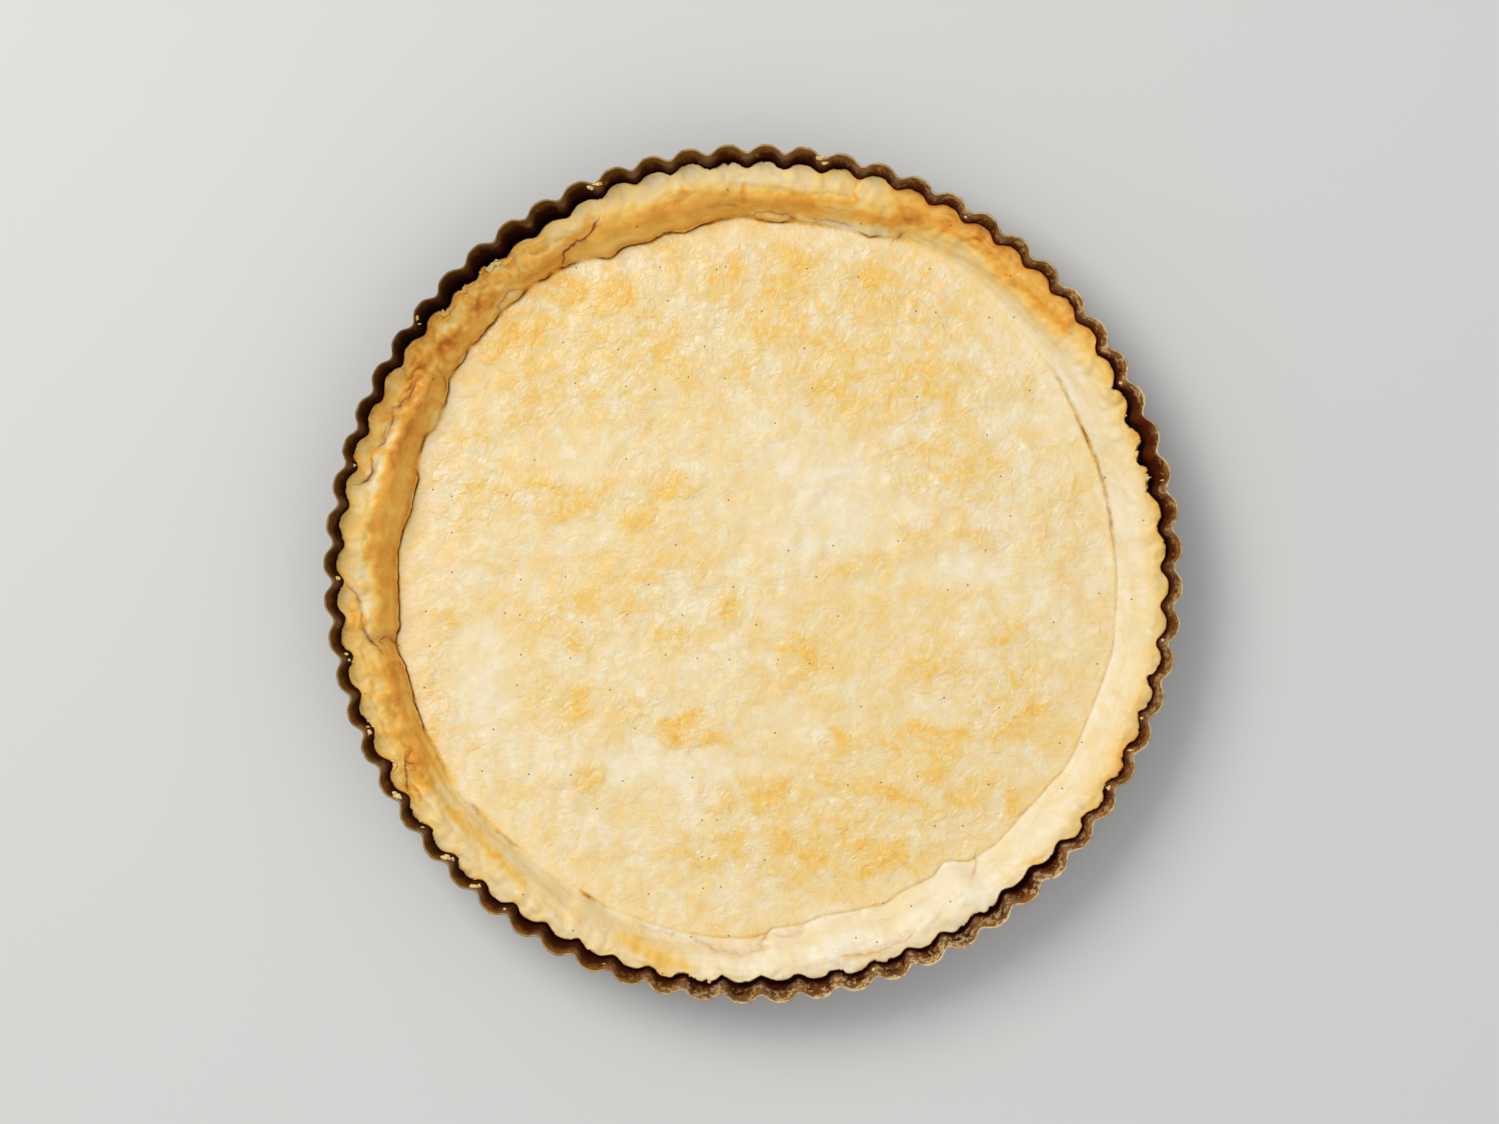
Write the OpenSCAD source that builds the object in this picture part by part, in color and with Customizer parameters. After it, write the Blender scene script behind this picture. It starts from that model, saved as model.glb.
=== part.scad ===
// Fluted tart pan: a flared ring of corrugated sheet steel, the loose base that
// lies on the ring's ledge, and the baked pastry shell that lines them.
// The axis of the pan is Z and it stands on the plane z = 0.

/* [Ring] */
// Diameter across the flute crests at the rim
rim_d = 260; // [220:1:320]
// Height from the surface it stands on to the rim
ring_h = 25; // [22:0.5:35]
// Slope of the wall, in degrees from vertical
wall_slope = 17; // [10:1:22]
// Number of flutes round the wall
flutes = 68; // [56:4:80]
// Depth of a flute at the rim
flute_depth = 2.5; // [1.5:0.1:3]
// Thickness of the steel sheet
sheet = 0.6; // [0.5:0.1:0.8]
// Width of the ledge that carries the loose base
ledge_w = 7; // [5:0.5:9]

/* [Loose base] */
// Gap between the edge of the loose base and the nearest flute
base_gap = 1.1; // [0.8:0.1:2]
// How far the middle of the loose base is pressed down
base_step = 0.5; // [0.3:0.1:0.6]
// Gap between that step and the edge of the ledge
step_gap = 0.9; // [0.6:0.1:2]

/* [Pastry] */
// Height of the pastry's edge above the surface that the pan stands on
pastry_top = 17; // [14:0.5:20]
// Thickness of the pastry's floor
pastry_floor = 3.8; // [3:0.1:6]
// Rise of the floor's puffed middle
pastry_puff = 0.6; // [0:0.1:1.5]
// Thickness of the pastry's wall at its top, at the crests
pastry_wall = 8.5; // [6:0.5:12]
// Thickness of the pastry's wall at the floor, at the crests
pastry_foot = 13; // [9:0.5:16]
// Gap that baking leaves between the pastry and the ring
pastry_gap = 1; // [0.6:0.1:3]

/* [Hidden] */

// How sharply the flutes pinch in between their wide round lobes
flute_sharpness = 1.8;
// Straight steps that draw one flute
flute_steps = 12;
// How far a cutter runs past the face that it cuts
over = 1;
// Gap under a piece that lies on another, so that the two don't share a face
rest_gap = 0.05;
// Radius that rounds the pastry's inner edge and its crease
pastry_round = 3;
// Straight steps of a quarter turn in the pastry's profile
round_steps = 6;

steel_brown = [0.36, 0.22, 0.10];
steel_grey = [0.42, 0.36, 0.28];
baked_gold = [0.93, 0.80, 0.53];

rim_r = rim_d / 2;
// Radial thickness of the sloping sheet
wall_r = sheet / cos(wall_slope);
// Outer radius of the valleys where the wall meets the ledge
foot_valley_r = (rim_r - ring_h * tan(wall_slope)) * (1 - flute_depth / rim_r);
ledge_r = foot_valley_r - ledge_w;
base_r = foot_valley_r - wall_r - base_gap;
step_r = ledge_r - step_gap;
// Heights of the loose base and of the pastry on it
flange_z = sheet + rest_gap;
middle_z = flange_z - base_step;
pastry_z = flange_z + sheet + rest_gap;
floor_z = pastry_z + pastry_floor;

// Radius of the wall's outer face over the crests, at height z
function crest_r(z) = rim_r - (ring_h - z) * tan(wall_slope);

// Outline of the flutes with crests at radius r: wide lobes and narrow valleys
function flute_outline(r) =
    let (depth = flute_depth * r / rim_r, steps = flutes * flute_steps)
    [for (i = [0 : steps - 1])
        let (a = 360 * i / steps,
             pinch = pow((1 - cos(flutes * a)) / 2, flute_sharpness),
             q = r - depth * pinch)
        [q * cos(a), q * sin(a)]];

// Points of an arc about c, from angle a0 to angle a1
function arc(c, r, a0, a1) =
    [for (i = [0 : round_steps])
        let (a = a0 + (a1 - a0) * i / round_steps)
        [c.x + r * cos(a), c.y + r * sin(a)]];

// Solid inside the wall from z0 to z1, set in from its outer face by inset
module fluted_body(z0, z1, inset) {
    low = crest_r(z0) - inset;
    high = crest_r(z1) - inset;
    translate([0, 0, z0])
        linear_extrude(height = z1 - z0, scale = high / low)
            polygon(flute_outline(low));
}

// One pressed sheet: the flared fluted wall, cut flat at its rim, turned in at its foot as a ledge
module fluted_ring() {
    color(steel_brown) difference() {
        fluted_body(0, ring_h + over, 0);
        fluted_body(sheet, ring_h + 2 * over, wall_r);
        translate([0, 0, -over]) cylinder(r = ledge_r, h = sheet + 2 * over, $fn = 128);
        translate([0, 0, ring_h]) cylinder(r = rim_r + 2 * over, h = 3 * over, $fn = 128);
    }
}

// Loose disc: a flange that lies on the ledge, and a middle pressed down into its hole
module loose_base() {
    color(steel_grey) rotate_extrude($fn = 128) polygon([
        [0, middle_z],
        [step_r - base_step - sheet, middle_z],
        [step_r, flange_z],
        [base_r, flange_z],
        [base_r, flange_z + sheet],
        [step_r - sheet / 2, flange_z + sheet],
        [step_r - base_step - 1.5 * sheet, middle_z + sheet],
        [0, middle_z + sheet]
    ]);
}

// Hollow of the pastry shell: puffed floor, rounded crease, sloping wall, rounded edge
module pastry_hollow() {
    crease_r = crest_r(floor_z) - wall_r - pastry_gap - pastry_foot;
    edge_r = crest_r(pastry_top) - wall_r - pastry_gap - pastry_wall;
    lean = atan((edge_r - crease_r) / (pastry_top - floor_z));
    bend = 90 - lean;
    crease = [crease_r - pastry_round * tan(bend / 2), floor_z + pastry_round];
    edge = [edge_r + pastry_round * tan(bend / 2), pastry_top - pastry_round];
    rotate_extrude($fn = 128) polygon(concat(
        [[0, floor_z + pastry_puff], [crease_r / 2, floor_z + pastry_puff * 0.75]],
        arc(crease, pastry_round, -90, -lean),
        arc(edge, pastry_round, 180 - lean, 90),
        [[edge.x, pastry_top + over], [0, pastry_top + over]]
    ));
}

// Baked case: its outside follows the flutes, and it fills the loose base's pressed middle
module pastry_shell() {
    plug_r = step_r - base_step - 2.5 * sheet;
    color(baked_gold) difference() {
        union() {
            fluted_body(pastry_z, pastry_top, wall_r + pastry_gap);
            translate([0, 0, pastry_z - base_step]) cylinder(r = plug_r, h = base_step + over, $fn = 128);
        }
        pastry_hollow();
    }
}

fluted_ring();
loose_base();
pastry_shell();
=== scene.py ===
import math

import bmesh
import bpy
import numpy as np
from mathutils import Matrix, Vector, noise


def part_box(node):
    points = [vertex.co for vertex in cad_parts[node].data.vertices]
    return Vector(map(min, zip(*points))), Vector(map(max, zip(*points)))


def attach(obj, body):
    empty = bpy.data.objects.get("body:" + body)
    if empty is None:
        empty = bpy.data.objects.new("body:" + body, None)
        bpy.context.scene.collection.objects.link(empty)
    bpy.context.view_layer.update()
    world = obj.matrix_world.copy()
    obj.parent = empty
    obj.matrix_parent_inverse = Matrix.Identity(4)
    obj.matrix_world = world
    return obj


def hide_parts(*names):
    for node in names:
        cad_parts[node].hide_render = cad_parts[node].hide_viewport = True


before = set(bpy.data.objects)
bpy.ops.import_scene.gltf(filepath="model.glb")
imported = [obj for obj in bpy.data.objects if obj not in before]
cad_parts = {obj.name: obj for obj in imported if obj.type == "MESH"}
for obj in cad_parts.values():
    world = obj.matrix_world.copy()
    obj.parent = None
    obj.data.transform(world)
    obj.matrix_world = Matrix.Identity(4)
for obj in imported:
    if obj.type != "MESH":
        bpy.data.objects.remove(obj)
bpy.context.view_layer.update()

MM = 0.001

# The pan's sizes, as the CAD model has them
RIM_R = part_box("fluted_ring")[1].x
RING_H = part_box("fluted_ring")[1].z
BASE_LOW, BASE_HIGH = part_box("loose_base")
PASTRY_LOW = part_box("pastry_shell")[0]
SHEET = 0.6 * MM
SLOPE_ANGLE = math.radians(17)
WALL_SLOPE = math.tan(SLOPE_ANGLE)
WALL_THICK = SHEET / math.cos(SLOPE_ANGLE)
FLUTES = 68
# Points round one flute on the ring and the pastry's wall, and round the whole loose base
FLUTE_POINTS = 20
DISC_POINTS = 288
FLUTE_DEPTH = 2.5 * MM
FLUTE_SHARPNESS = 1.8
LEDGE_W = 7 * MM
HOLE_R = (RIM_R - RING_H * WALL_SLOPE) * (1 - FLUTE_DEPTH / RIM_R) - LEDGE_W
BASE_STEP_R = HOLE_R - 0.9 * MM
PASTRY_FLOOR_Z = 5.2 * MM
# Radii in millimetres where the top of the pastry's wall begins and where its outer lobes are highest
WALL_TOP_R = 114.5
LOBE_R = 122.4
# How many of its half widths away a crevice ends
CREVICE_END = 9.0

# The pastry by direction: values by degrees, joined by smooth curves, with lengths in millimetres.
# Gap between the top of the pastry and the ring, where baking has shrunk it
PASTRY_GAP = {
    0: 0.5, 5: 1.2, 11: 1.6, 16: 2.8, 18.5: 3.1, 21: 2.2, 24: 3.2, 27: 2, 33: 1.2, 37: 0.4, 76: 0.3, 84: 1.5,
    90: 1.3, 96: 1.5, 101: 0.5, 106: 1, 111: 1, 117: 2.2, 122: 3.1, 128: 3, 133: 2.1, 138: 1.9, 145: 1.3,
    153: 0.5, 159: 0.6, 164: 0.3, 226: 0.3, 233: 0.8, 240: 1.6, 254: 1.5, 259: 1.4, 266: 2, 275: 3, 281: 2.3,
    286: 1.6, 292: 2, 304: 1.9, 313: 3.3, 318: 2.3, 323: 0.6, 330: 0.3, 352: 0.3,
}
# Radius of the crease where the wall stands on the floor
CREASE_R = {
    0: 111.3, 9: 110.5, 20: 110.6, 22: 110.2, 28: 110.1, 36: 110.9, 45: 111.1, 60: 112, 67: 112.3, 71: 110.6,
    73: 109.3, 80: 108.8, 90: 108.4, 93: 109.6, 100: 108.5, 103: 107.3, 106: 107.9, 109: 106.9, 113: 108.2,
    116: 106.5, 119: 108.8, 123: 110.7, 130: 111.4, 141: 111.4, 149: 110.9, 151: 109.4, 153: 107.9,
    157: 107.2, 159: 109.3, 162: 108.9, 166: 107.3, 171: 107.4, 175: 108.7, 178: 109.7, 185: 109.5,
    190: 110.1, 192: 111.9, 198: 110.8, 206: 111.9, 209: 111.2, 215: 111.8, 228: 111.1, 232: 110.2,
    238: 109.8, 243: 110.9, 250: 111.7, 263: 112, 271: 111.7, 273: 110.7, 275: 108.6, 279: 108.3, 283: 106.9,
    290: 107.8, 293: 108.8, 297: 107.4, 302: 107.6, 305: 105.8, 309: 110.2, 314: 111.1, 320: 110.6,
    325: 111.1, 330: 112.4, 340: 111.6, 350: 112.4, 355: 111.6,
}
# How cracked that crease is, from 0 where the wall flows into the floor to about 1 where it stands over a
# gap; the pastry's colour is darkened along it by as much, as painted shade in the crack
CRACKED = {
    0: 0.22, 5: 0.3, 9: 0.5, 13: 0.42, 18: 0.5, 21: 0.45, 25: 0.65, 30: 0.4, 34: 0.4, 39: 0.1, 44: 0, 62: 0,
    68: 0.3, 70: 0.35, 73: 0.7, 76: 0.3, 81: 0.45, 85: 0.4, 88: 0.9, 91: 0.6, 94: 0.4, 98: 0.7, 103: 1,
    106: 0.7, 112: 1, 116: 0.8, 120: 0.3, 123: 0.9, 125: 0.5, 127: 1, 129: 0.35, 132: 0.8, 135: 0.4, 138: 0.8,
    141: 1.1, 143: 0.4, 145: 1, 148: 0.5, 151: 0.9, 154: 0.4, 157: 0.4, 160: 0.7, 164: 0.3, 166: 1.1,
    172: 1.1, 175: 0.8, 178: 1.1, 190: 1.2, 193: 0.7, 196: 1, 200: 1.1, 202: 0.7, 205: 1.1, 208: 0.4,
    213: 0.4, 217: 0.1, 219: 0.1, 222: 0.5, 225: 0.3, 229: 0.5, 232: 0.25, 236: 0, 242: 0.1, 244: 0.6,
    247: 0.35, 251: 0, 262: 0.1, 266: 0.2, 271: 0.2, 276: 0.24, 281: 0.28, 286: 0.2, 293: 0.24, 297: 0.2,
    303: 0.28, 306: 0.12, 311: 0.17, 320: 0.18, 329: 0.15, 334: 0.1, 345: 0.1, 350: 0.15,
}
# Height of the pastry's top edge
TOP_Z = {
    0: 16.6, 50: 17.6, 90: 16.8, 125: 16.4, 150: 17.9, 170: 18.2, 210: 18, 250: 16.8, 290: 16.3, 335: 17.4,
}
# How far the outer edge of the pastry's top curls up, in millimetres
CURL = {
    0: 0.3, 30: 0.2, 60: 0, 220: 0, 270: 0.3, 300: 0.5, 330: 0.4,
}
# How raggedly that edge is torn
TORN = {
    0: 0.15, 11: 0.6, 18: 1, 28: 0.9, 35: 0.3, 60: 0.15, 88: 0.3, 96: 0.8, 103: 0.25, 128: 0.15, 133: 0.9,
    143: 0.5, 160: 0.2, 184: 0.5, 204: 0.7, 217: 0.6, 225: 0.6, 232: 0.2, 266: 0.5, 275: 0.15, 288: 0.6,
    295: 0.3, 304: 0.6, 311: 0.2, 331: 0.6, 345: 0.6, 352: 0.15,
}
# How lumpy the top of the wall is
LUMPY = {
    0: 0.25, 30: 0.4, 60: 0.6, 75: 0.35, 118: 0.4, 132: 1.2, 152: 1.35, 164: 0.9, 173: 0.45, 188: 0.45,
    198: 0.7, 212: 0.9, 220: 0.45, 260: 0.3, 300: 0.25,
}
# How browned the wall is near its foot, halfway up and at its top: 0 is pale and 1 amber
BROWNED = {
    0: (0.1, 0.2, 0.56), 16: (0.05, 0.22, 0.72), 30: (0.04, 0.22, 0.6), 42: (0.16, 0.7, 0.92),
    60: (0.35, 0.55, 1.1), 70: (0.65, 0.82, 0.88), 76: (0.9, 0.65, 0.5), 90: (1.16, 0.66, 0.42),
    120: (1.08, 0.7, 0.52), 128: (0.92, 0.78, 0.6), 140: (0.92, 1.1, 0.8), 156: (1.05, 1.04, 0.72),
    166: (1.14, 0.86, 0.7), 180: (1.2, 0.72, 0.58), 192: (1.02, 0.7, 0.66), 204: (0.94, 0.88, 0.66),
    213: (0.75, 0.95, 0.8), 217: (0.5, 0.55, 0.6), 230: (0.35, 0.45, 0.4), 245: (0.22, 0.35, 0.4),
    258: (0.13, 0.34, 0.45), 268: (0.1, 0.08, 0.18), 290: (0.08, 0.08, 0.16), 308: (0.08, 0.1, 0.16),
    325: (0.08, 0.14, 0.5), 333: (0.1, 0.18, 0.75), 345: (0.08, 0.12, 0.52),
}

# Marks on the wall, each along a line of (degrees, radius) points.
# Stains and painted light: how much they brown, or pale if negative, and their half width in millimetres.
# Some browning lines are painted shade on steps and under flap edges, and some pale ones are painted
# highlights on lit ridges
STAINS_AND_PAINTED_LIGHT = [
    (0.25, 2.2, [(40, 120), (46, 119.5), (52, 119.5), (58, 121)]),
    (0.5, 1, [(57.5, 124), (58.5, 122), (60.5, 120)]), (0.4, 0.7, [(48.5, 119), (51.5, 119)]),
    (0.55, 1.6, [(67.4, 119.6), (68.6, 118.2), (69.4, 120)]),
    (0.45, 1.8, [(62, 121.3), (66, 119), (70, 116)]),
    (0.4, 1.2, [(76.5, 117.6), (80, 116.7), (84, 115.5), (88, 115)]), (0.4, 0.7, [(76.6, 118), (77, 124)]),
    (0.35, 1.6, [(71, 115), (76, 113.8)]), (0.5, 1, [(93.2, 114), (93.3, 118.5)]),
    (0.35, 1.5, [(83, 114), (85, 112.8)]), (0.35, 1.2, [(102, 118), (104.5, 115.3), (107, 114.6)]),
    (-0.12, 2.5, [(78, 120.5), (84, 119.5), (90, 120.5), (97, 121)]),
    (0.15, 1.8, [(106, 113), (116, 112.5)]), (-0.5, 0.8, [(86.5, 109.6), (91.5, 109.5)]),
    (-0.4, 1.2, [(70.5, 111.8), (76, 110.4), (84, 110)]),
    (0.3, 1.5, [(116.5, 119), (118, 116), (121, 116.5)]),
    (-0.1, 2, [(106, 120.5), (112, 121), (124, 121.5)]), (0.6, 1.8, [(134.5, 116.8), (138, 116.6)]),
    (0.6, 1.8, [(143, 117.2), (147, 116.8)]), (0.35, 1.2, [(133.3, 124), (133.8, 121)]),
    (-0.2, 1.6, [(131, 121.5), (132, 123.5)]), (-0.25, 1.4, [(142, 119.5), (144.5, 120.5)]),
    (0.4, 2.2, [(150, 119.5), (154, 119)]), (0.25, 1.4, [(155, 114.6), (157.5, 113.6), (160, 113.4)]),
    (-0.45, 0.9, [(154.5, 108.6), (158.5, 108.4)]), (-0.3, 1.8, [(132, 113.5), (142, 113.5), (148, 114)]),
    (-0.55, 1.6, [(157, 119.4), (160, 117.8), (164, 119.5), (168, 119), (169, 117.5)]),
    (-0.15, 2.5, [(169, 122), (175, 121), (181, 120.5)]), (0.35, 1.6, [(166.5, 123.5), (167.2, 121.6)]),
    (0.3, 1.3, [(161, 115), (166, 115.2), (171, 116), (176, 116.3), (179.4, 117.8)]),
    (-0.25, 1.8, [(181.5, 119), (183, 117), (188, 117)]),
    (-0.35, 0.9, [(183.5, 121), (186, 118.8), (190, 118.6)]), (0.3, 2, [(186, 122.2), (190, 121.5)]),
    (0.35, 0.8, [(191.9, 116), (191.7, 112.8)]), (0.45, 1.4, [(196, 113.8), (200, 114.6), (204, 115)]),
    (0.4, 2, [(207, 116.5), (210, 118), (214, 118)]), (0.4, 0.8, [(213.3, 124), (214.3, 121.5)]),
    (0.35, 1.2, [(219, 117.5), (223, 116.5), (235, 117.2)]),
    (0.35, 2.5, [(252, 117.5), (256, 119), (261, 121)]), (0.7, 0.5, [(243, 110.8), (246, 111.2)]),
    (0.3, 0.7, [(285, 119.8), (289, 120.7)]), (0.4, 1, [(315, 121), (317, 122.5)]),
    (0.4, 0.6, [(22, 109.7), (27, 109.5)]),
]
# Crevices: how dark their painted shadow is, and its half width in millimetres
CREVICES = [
    (1, 0.42, [(115.8, 117.2), (117.5, 115), (118.5, 114.2), (119.6, 114.8), (122, 114.5), (122.8, 112.2)]),
    (0.9, 0.4, [(152.6, 118.2), (154.3, 117.4), (155, 118.3), (156.7, 119.8)]),
    (0.6, 0.37, [(157, 120.6), (158.7, 119.4), (160.5, 119), (162.4, 119.6)]),
    (0.9, 0.4, [(165.4, 120.8), (166.6, 119.9), (167.8, 120.3), (168.4, 122)]),
    (0.4, 0.37, [(183.6, 123), (184.6, 121), (186, 119.9)]),
    (0.8, 0.4, [(189.6, 119.9), (191.3, 118.4), (192.4, 117.1)]),
    (0.8, 0.4, [(191.5, 115.4), (191.3, 113.6), (192.4, 112)]),
    (0.9, 0.42, [(209.7, 120), (211.3, 121.6), (213.2, 123.6)]),
    (0.7, 0.37, [(209.9, 120.1), (210.6, 118.8)]),
    (0.6, 0.34, [(85.2, 109.6), (87.5, 110.7), (91, 110.5), (93.2, 109.4)]),
    (0.4, 0.34, [(76.5, 110.6), (79, 110.9), (82, 110.3)]), (0.7, 0.42, [(68.2, 113.2), (68.7, 111.9)]),
    (0.35, 0.34, [(94.4, 112.7), (96, 113.2), (98.5, 112.9)]), (0.3, 0.34, [(77, 114.2), (80, 114)]),
    (0.5, 0.34, [(148.8, 114.4), (149.4, 112), (150.6, 110)]), (0.3, 0.34, [(102, 118.2), (104, 117.4)]),
    (0.45, 0.34, [(131, 112.6), (132.5, 114.4), (135, 113.6), (135.8, 111.6)]),
    (0.3, 0.34, [(308, 113.2), (309, 111.8), (309.6, 110.2)]),
    (0.35, 0.34, [(272.4, 113.2), (273.6, 110.6)]),
    (0.3, 0.37, [(285, 119.4), (288, 120.4), (292, 120.9), (295, 119.6)]),
    (0.18, 0.7, [(262.5, 113.2), (266, 115.4), (270, 116), (273, 114.2), (272, 112)]),
    (0.15, 0.7, [(253, 112.6), (256, 113.6), (259, 112.6)]),
    (0.15, 0.7, [(276, 110.8), (278, 111.1), (279, 110.2)]),
]
# Flaps: how far they stand up on the left of their line, and how far they reach, in millimetres
FLAPS = [
    (1, 3, [(183.5, 123.5), (184.5, 121.2), (186, 119.9), (190, 119.8), (192.2, 117.3), (191.5, 115),
            (191.3, 112.8)]),
    (0.9, 2.4, [(156.5, 121.8), (158, 119.9), (160, 119.2), (162.5, 119.9), (164, 121.5), (165.3, 121.5),
                (165.8, 120.3), (167.3, 119.8), (168.3, 121.2), (168.5, 124.5)]),
    (1, 3, [(122.8, 112.2), (122, 114.5), (119.6, 114.8), (118.5, 114.2), (117.5, 115), (115.8, 117.2)]),
    (0.9, 2.5, [(156.7, 119.8), (155, 118.3), (154.3, 117.4), (150, 116.6), (146, 116), (136, 115.6)]),
    (0.8, 3, [(213, 123.4), (211.3, 121.6), (209.9, 120.1), (209.5, 118.5)]),
    (0.8, 3, [(88, 115), (84, 115.5), (80, 116.7), (76.6, 118), (76.4, 124)]),
    (0.4, 2.5, [(180.4, 114.5), (180.2, 117), (181, 119.5)]),
    (0.5, 3, [(60, 118.8), (52, 117.4), (43, 117.2), (38, 119.6)]),
    (0.5, 3.5, [(206, 115.5), (201, 116), (196, 117), (193, 118.5)]),
    (0.4, 3, [(262, 119), (255, 117.5), (248, 117)]),
    (0.5, 2, [(93.2, 109.6), (91, 110.6), (87.5, 110.7), (85, 109.4)]),
    (0.5, 2.5, [(262.5, 113.2), (266, 115.4), (270, 116), (273, 114.2)]),
    (0.4, 2, [(275, 110.4), (277.5, 111.3), (279.5, 110.2)]),
    (0.3, 2.5, [(285, 119.4), (292, 120.9), (296, 119.2)]),
]

# Toasted spots of the floor: centre and half width along x and y in millimetres, and how much they brown
FLOOR_TOAST = [
    (0, 77, 62, 20, 0.13), (12, 94, 55, 8, 0.1), (36, 62, 30, 16, 0.1), (-78, 72, 12, 9, 0.3),
    (-55, 86, 22, 7, 0.25), (-29, 27, 8, 5.5, 0.34), (-36, 18, 7, 5, 0.16), (-62, 21, 26, 6, 0.12),
    (-90, 26, 12, 16, 0.12), (-56, 52, 24, 14, 0.12), (49, 34, 12, 9, 0.24), (69, 31, 10, 9, 0.22),
    (69, 13, 7, 4, 0.34), (47, 14, 6, 4, 0.22), (93, 18, 9, 16, 0.16), (30, 5, 14, 4, 0.12),
    (-6, -12, 5, 5.5, 0.26), (-24, -19, 6, 4, 0.24), (-56, -16, 12, 12, 0.12), (15, -27, 8, 9, 0.28),
    (-58, -43, 9, 7, 0.26), (-36, -41, 9, 4, 0.12), (-18, -48, 12, 6, 0.36), (-50, -63, 5, 4, 0.22),
    (-94, -36, 5, 22, 0.18), (78, -15, 7, 5, 0.22), (57, -28, 10, 7, 0.18), (27, -53, 6, 6, 0.24),
    (56, -50, 20, 6, 0.22), (80, -40, 14, 14, 0.18), (22, -69, 36, 9, 0.22), (64, -66, 20, 9, 0.2),
    (14, -85, 36, 8, 0.22), (52, -84, 18, 7, 0.18), (22, 22, 26, 17, -0.2), (-84, -32, 12, 16, -0.26),
    (62, 2, 14, 6, -0.2), (-20, -60, 34, 6, -0.18), (-55, 38, 14, 12, -0.1), (86, 50, 16, 8, -0.14),
    (10, -45, 12, 6, -0.14), (-26, -6, 22, 12, 0.08), (72, 50, 22, 18, 0.1),
]

# How much of the ring's dark coat has flaked to bright metal, by direction. It also stands for how much light
# each side of the ring's inside gets: the side away from the light is painted darker as painted shade, and
# the lit side lighter
FLAKED_AND_LIT = {
    0: 0.58, 30: 0.75, 60: 0.6, 75: 0.5, 95: 0.42, 120: 0.18, 145: 0, 170: 0.16, 200: 0.22, 225: 0.28,
    245: 0.42, 264: 0.66, 290: 0.88, 305: 0.98, 330: 0.6,
}
# Height in millimetres up to which the ring's inside is painted dark, by direction: burnt residue, and
# painted shade in the gap beside the pastry, higher where that gap is deep and on the ring's shaded side
SCORCHED_AND_SHADED = {
    0: 20, 14: 20, 16: 20.5, 18.5: 25, 21: 20.5, 23.8: 25, 26.5: 20, 75: 20, 95: 19, 120: 19.5, 145: 22.5,
    170: 21, 245: 21, 270: 16.5, 300: 14.5, 330: 19.5,
}

# Crumbs in the ring's valleys: degrees, height and size in millimetres
CRUMBS = [
    (82.6, 24.3, 2.9), (81.9, 22.8, 1.8), (29.2, 20.5, 1.1), (113.6, 24.3, 3), (114.5, 23.2, 2),
    (144.5, 23.8, 1.8), (144.9, 22.2, 1.2), (166.4, 20, 1), (182.2, 21.5, 1.4), (192.7, 20.6, 1.7),
    (193.6, 20, 1.1), (204, 22, 1.6), (203.2, 20.6, 1.2), (213.6, 23.4, 2.6), (213, 21.9, 1.4),
    (219, 21, 1.1), (224.2, 22.8, 2.5), (225, 21.2, 1.2), (229.6, 23.3, 2.9), (230.2, 21.6, 1.3),
    (235, 21.5, 1), (250.6, 20.5, 0.9), (288.5, 20, 1.2), (330.6, 21, 1.5), (336.6, 21.8, 1.7),
    (341.3, 20.6, 1.1), (352.5, 20.4, 1), (14.6, 20.4, 1.3), (61, 21.5, 1),
]
# Bits torn loose along the pastry's outer edge: degrees, inset from the edge and size in millimetres
BITS = [
    (15.4, 0.3, 1.2), (19.4, 0.5, 1), (24.8, 0.2, 1.1), (29, 0, 1.3), (33.8, 0.4, 0.9), (93.8, 0.4, 1),
    (98.4, 0.2, 1.4), (103.4, 0.3, 0.8), (114, 0.3, 0.9), (131, -0.2, 1.6), (133.8, 0.4, 1.3),
    (141.4, 0.3, 1.1), (183.6, 0.2, 1), (188.6, 0.3, 0.9), (194, 0.3, 1.1), (203.4, 0.1, 1.4),
    (209, 0.4, 0.9), (218.2, 0.3, 1.2), (229.2, 0.1, 1.3), (262.6, 0.2, 1), (265.4, 0.1, 1.4),
    (289.4, 0.1, 1.4), (299.2, 0.4, 0.9), (304.2, 0.2, 1.2), (308, 0.4, 0.9), (325.6, 0.3, 1.1),
    (330.6, 0.3, 1.2), (337, 0.4, 0.9), (347, 0.4, 0.9),
]


# --- shapes ---

def around(table, angle):
    """Values at these angles in radians of a smooth closed curve through a table of values by degrees."""
    at, value = np.array(list(table.items()), float).T
    degrees = np.mod(np.degrees(angle), 360)
    here = np.mod(np.searchsorted(at, degrees, side="right") - 1, len(at))
    after = np.mod(here + 1, len(at))
    share = np.mod(degrees - at[here], 360) / np.mod(at[after] - at[here], 360)
    ease = share * share * (3 - 2 * share)
    return value[here] * (1 - ease) + value[after] * ease


def spline(keys, steps):
    """Rows on the smooth curves through keys, an array of (key, column, coordinate), steps rows a key."""
    ends = np.concatenate([2 * keys[:1] - keys[1:2], keys, 2 * keys[-1:] - keys[-2:-1]])
    rows = []
    for i, count in enumerate(steps):
        a, b, c, d = ends[i:i + 4]
        for t in np.arange(count) / count:
            rows.append(0.5 * (2 * b + (c - a) * t + (2 * a - 5 * b + 4 * c - d) * t ** 2
                               + (3 * b - a - 3 * c + d) * t ** 3))
    return np.array(rows + [keys[-1]])


def directions(count):
    """Evenly spaced angles round the pan's axis, in radians."""
    return np.arange(count) * 2 * math.pi / count


def ring_points(angle, radius, height):
    """A ring of points at these angles, radii and heights."""
    radius = radius + 0 * angle
    height = height + 0 * angle
    return np.stack([radius * np.cos(angle), radius * np.sin(angle), height], axis=-1)


def fractal(points, octaves=3):
    """Smooth noise from about -1 to 1 at each point, whose features are about one unit across."""
    return np.array([noise.fractal(Vector(p), 1.0, 2.0, octaves) for p in points.reshape(-1, 3)]
                    ).reshape(points.shape[:-1])


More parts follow.
